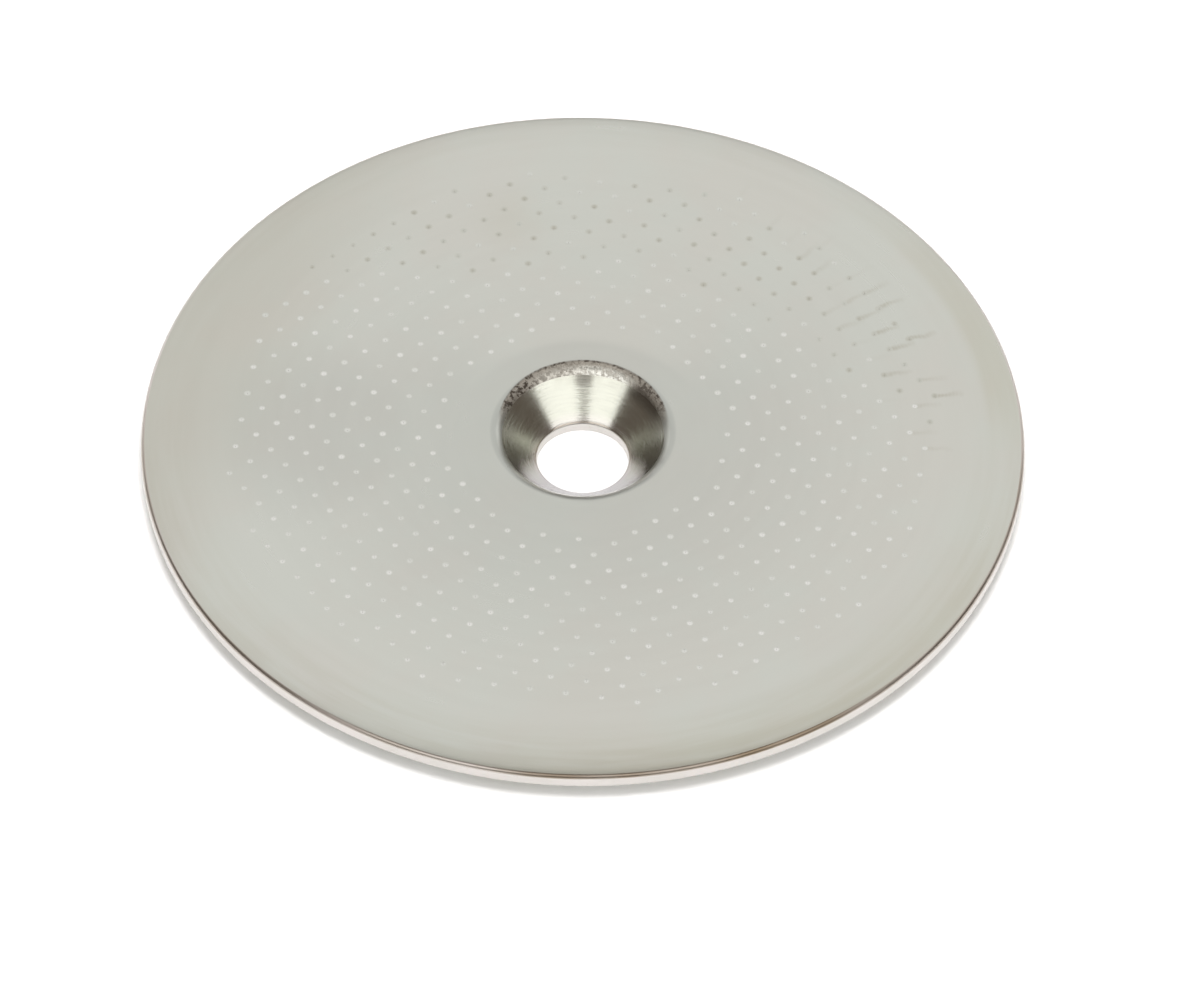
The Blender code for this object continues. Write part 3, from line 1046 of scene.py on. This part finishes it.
def satin_back(finish, groups):
    """The hidden side: the same sheet with more film, and rubbed where it seats and on its foot."""
    material, bench, at = new_steel("satin_back", groups)
    grain = bench.effect("grain", size=0.09)
    film = bench.effect("film", size=5.0, amount=0.9)
    lines = bench.effect("lines", per_millimetre=5.0, wander=4.0)
    scuffs = bench.effect("scuffs", size=0.6, amount=0.4)
    seat = bench.span(at["Radius"], *RUBBED_SEAT)
    foot = bench.span(at["Radius"], *RUBBED_FOOT, 1.0, 0.0)
    tone = bench.layered(
        finish.steel,
        (film, finish.rim_stain),
        (bench.times(bench.most(seat, foot), lines), finish.cut),
        (bench.times(scuffs, 0.3), finish.stain),
    )
    gloss = bench.plus(finish.face_roughness, film, 0.1)
    height = bench.plus(bench.times(grain, 0.5), lines, 0.4)
    finish_with(bench, tone, gloss, height, relief=3e-6)
    return material


def disc_materials(sizes, finish):
    """The disc's finishes, in the order of its material slots."""
    place = place_group(sizes)
    groups = {
        "place": place,
        "lines": lines_group(place),
        "grain": grain_group(place),
        "film": film_group(place),
        "scuffs": scuffs_group(place),
        "drag": drag_group(place, sizes),
    }
    makers = {
        FACE: satin_face,
        DISH: polished_dish,
        EDGE: cut_edge,
        MOUTH: clean_mouth,
        BACK: satin_back,
    }
    return [makers[slot](finish, groups) for slot in sorted(makers)]


def floor_material(stage):
    """Pale floor. It takes shadows, glows enough to be white in the light, and is clear from below.
    What glows under the disc is seen only in reflections."""
    material, bench = new_material("pale_floor")
    bench.fill(bench.shader["Base Color"], stage.floor)
    bench.fill(bench.shader["Roughness"], 1.0)
    bench.fill(bench.shader["Specular IOR Level"], 0.0)
    bench.fill(bench.shader["Emission Color"], WHITE)
    path = bench.put("ShaderNodeLightPath").outputs
    seen = bench.most(*(path[f"Is {ray} Ray"] for ray in ("Camera", "Glossy", "Transmission")))
    radius = bench.vector("LENGTH", bench.put("ShaderNodeTexCoord").outputs["Object"])
    under = bench.times(bench.span(radius, *UNDER_START), bench.span(radius, *UNDER_END))
    under = bench.times(under, path["Is Glossy Ray"], stage.under_glow)
    bench.fill(bench.shader["Emission Strength"], bench.plus(under, seen, stage.floor_glow))
    nodes = material.node_tree.nodes
    sides = bench.put("ShaderNodeMixShader")
    bench.fill(sides.inputs[0], bench.put("ShaderNodeNewGeometry").outputs["Backfacing"])
    bench.fill(sides.inputs[1], nodes["Principled BSDF"].outputs[0])
    bench.fill(sides.inputs[2], bench.put("ShaderNodeBsdfTransparent").outputs[0])
    bench.fill(nodes["Material Output"].inputs["Surface"], sides.outputs[0])
    return material


def room_world(stage):
    """A wall up to a low horizon and a dim room above it, by the height of the direction. The camera
    sees plain white in their place."""
    world = bpy.data.worlds.new("studio")
    world.use_nodes = True
    bench = Bench(world.node_tree)
    height = bench.parts(bench.put("ShaderNodeTexCoord").outputs["Generated"])["Z"]
    edges = (math.sin(math.radians(turn)) for turn in (WALL_TOP, ROOM_START))
    above = bench.span(height, *edges)
    seen = bench.put("ShaderNodeLightPath").outputs["Is Camera Ray"]
    tone = bench.layered(stage.wall, (above, stage.ceiling), (seen, WHITE))
    bench.fill(world.node_tree.nodes["Background"].inputs["Color"], tone)
    return world


def towards(azimuth, elevation):
    """Unit direction: azimuth 0 is the camera's side and 90 the right, elevation is above the
    floor."""
    up = math.radians(elevation)
    x, y, _ = facing(azimuth - 90)
    return Vector((x * math.cos(up), y * math.cos(up), math.sin(up)))


def soft_box(name, azimuth, elevation, size, radiance):
    """A rectangular lamp that faces the disc. Its power is pi times its area times its radiance."""
    lamp = bpy.data.lights.new(name, "AREA")
    lamp.shape = "RECTANGLE"
    lamp.size, lamp.size_y = size
    lamp.energy = math.pi * size[0] * size[1] * radiance
    box = bpy.data.objects.new(name, lamp)
    back = towards(azimuth, elevation)
    box.location = back * LAMP_DISTANCE
    box.rotation_mode = "QUATERNION"
    box.rotation_quaternion = back.to_track_quat("Z", "Y")
    bpy.context.scene.collection.objects.link(box)
    return box


def photo_camera(stage, target):
    """The photograph's camera: it stands off the target, and is then turned so that the target falls
    where it does in the photograph."""
    data = bpy.data.cameras.new("photo_camera")
    data.sensor_width = SENSOR_WIDTH
    data.lens = stage.lens
    data.clip_start = 0.1
    data.clip_end = 20.0
    back = towards(0.0, math.degrees(stage.elevation))
    across = Vector((1.0, 0.0, 0.0))
    up = back.cross(across)
    level_view = Matrix((across, up, back)).transposed()
    focal = stage.lens / SENSOR_WIDTH * PHOTO_WIDTH
    yaw = math.atan((PHOTO_WIDTH / 2 - CENTRE_ACROSS) / focal)
    pitch = math.atan((PHOTO_HEIGHT / 2 - CENTRE_DOWN) / focal)
    turned = (
        level_view
        @ Matrix.Rotation(stage.roll, 3, "Z")
        @ Matrix.Rotation(-yaw, 3, "Y")
        @ Matrix.Rotation(-pitch, 3, "X")
    )
    camera = bpy.data.objects.new("photo_camera", data)
    camera.matrix_world = Matrix.Translation(target + back * stage.distance) @ turned.to_4x4()
    bpy.context.scene.collection.objects.link(camera)
    return camera


def floor_mesh(reach):
    """A level square, wide enough to fill every view."""
    mesh = bpy.data.meshes.new("floor")
    side = np.array([-reach, reach])
    x, y = np.meshgrid(side, side, indexing="ij")
    points = np.stack([x, y, np.zeros((2, 2))], axis=-1).reshape(-1, 3)
    mesh.from_pydata(points, [], [(0, 2, 3, 1)])
    return mesh


class SHOWERSCREEN_OT_disc(bpy.types.Operator):
    """Build the perforated disc in its steel finishes"""

    bl_idname = "shower_screen.disc"
    bl_label = "Build disc"

    def execute(self, context):
        sizes = context.scene.shower_screen_sizes
        finish = context.scene.shower_screen_finish
        disc = bpy.data.objects.new("shower_screen_disc", disc_mesh(sizes))
        context.scene.collection.objects.link(disc)
        for material in disc_materials(sizes, finish):
            disc.data.materials.append(material)
        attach(disc, "root")
        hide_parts("shower_screen")
        return {"FINISHED"}


class SHOWERSCREEN_OT_stage(bpy.types.Operator):
    """Set the floor, the lamps, the room and the camera"""

    bl_idname = "shower_screen.stage"
    bl_label = "Set stage"

    def execute(self, context):
        sizes = context.scene.shower_screen_sizes
        stage = context.scene.shower_screen_stage
        floor = bpy.data.objects.new("floor", floor_mesh(FLOOR_REACH))
        floor.data.materials.append(floor_material(stage))
        context.scene.collection.objects.link(floor)
        for name, (azimuth, elevation, size, setting) in LAMPS.items():
            box = soft_box(name, azimuth, elevation, size, getattr(stage, setting))
            box.visible_glossy = name != FLOOR_LAMP
        context.scene.world = room_world(stage)
        target = Vector((0.0, 0.0, DiscForm(sizes).face_height - RIM_PLANE))
        context.scene.camera = photo_camera(stage, target)
        context.scene.view_settings.view_transform = "Standard"
        return {"FINISHED"}


class SHOWERSCREEN_PT_panel(bpy.types.Panel):
    """Sizes, finishes and stage of the shower screen"""

    bl_idname = "SHOWERSCREEN_PT_panel"
    bl_label = "Shower Screen"
    bl_space_type = "VIEW_3D"
    bl_region_type = "UI"
    bl_category = "Shower Screen"

    def draw(self, context):
        scene = context.scene
        for label, settings, operator in (
            ("Sizes", scene.shower_screen_sizes, None),
            ("Steel", scene.shower_screen_finish, SHOWERSCREEN_OT_disc),
            ("Stage", scene.shower_screen_stage, SHOWERSCREEN_OT_stage),
        ):
            box = self.layout.box()
            box.label(text=label)
            for name in settings.__annotations__:
                box.prop(settings, name)
            if operator:
                box.operator(operator.bl_idname)


SETTINGS = {
    "shower_screen_sizes": ShowerScreenSizes,
    "shower_screen_finish": ShowerScreenFinish,
    "shower_screen_stage": ShowerScreenStage,
}
CLASSES = (*SETTINGS.values(), SHOWERSCREEN_OT_disc, SHOWERSCREEN_OT_stage, SHOWERSCREEN_PT_panel)


def register():
    for cls in CLASSES:
        bpy.utils.register_class(cls)
    for name, settings in SETTINGS.items():
        setattr(bpy.types.Scene, name, PointerProperty(type=settings))


def unregister():
    for name in SETTINGS:
        delattr(bpy.types.Scene, name)
    for cls in reversed(CLASSES):
        bpy.utils.unregister_class(cls)


def main():
    register()
    bpy.ops.shower_screen.disc()
    bpy.ops.shower_screen.stage()


if __name__ == "__main__":
    main()
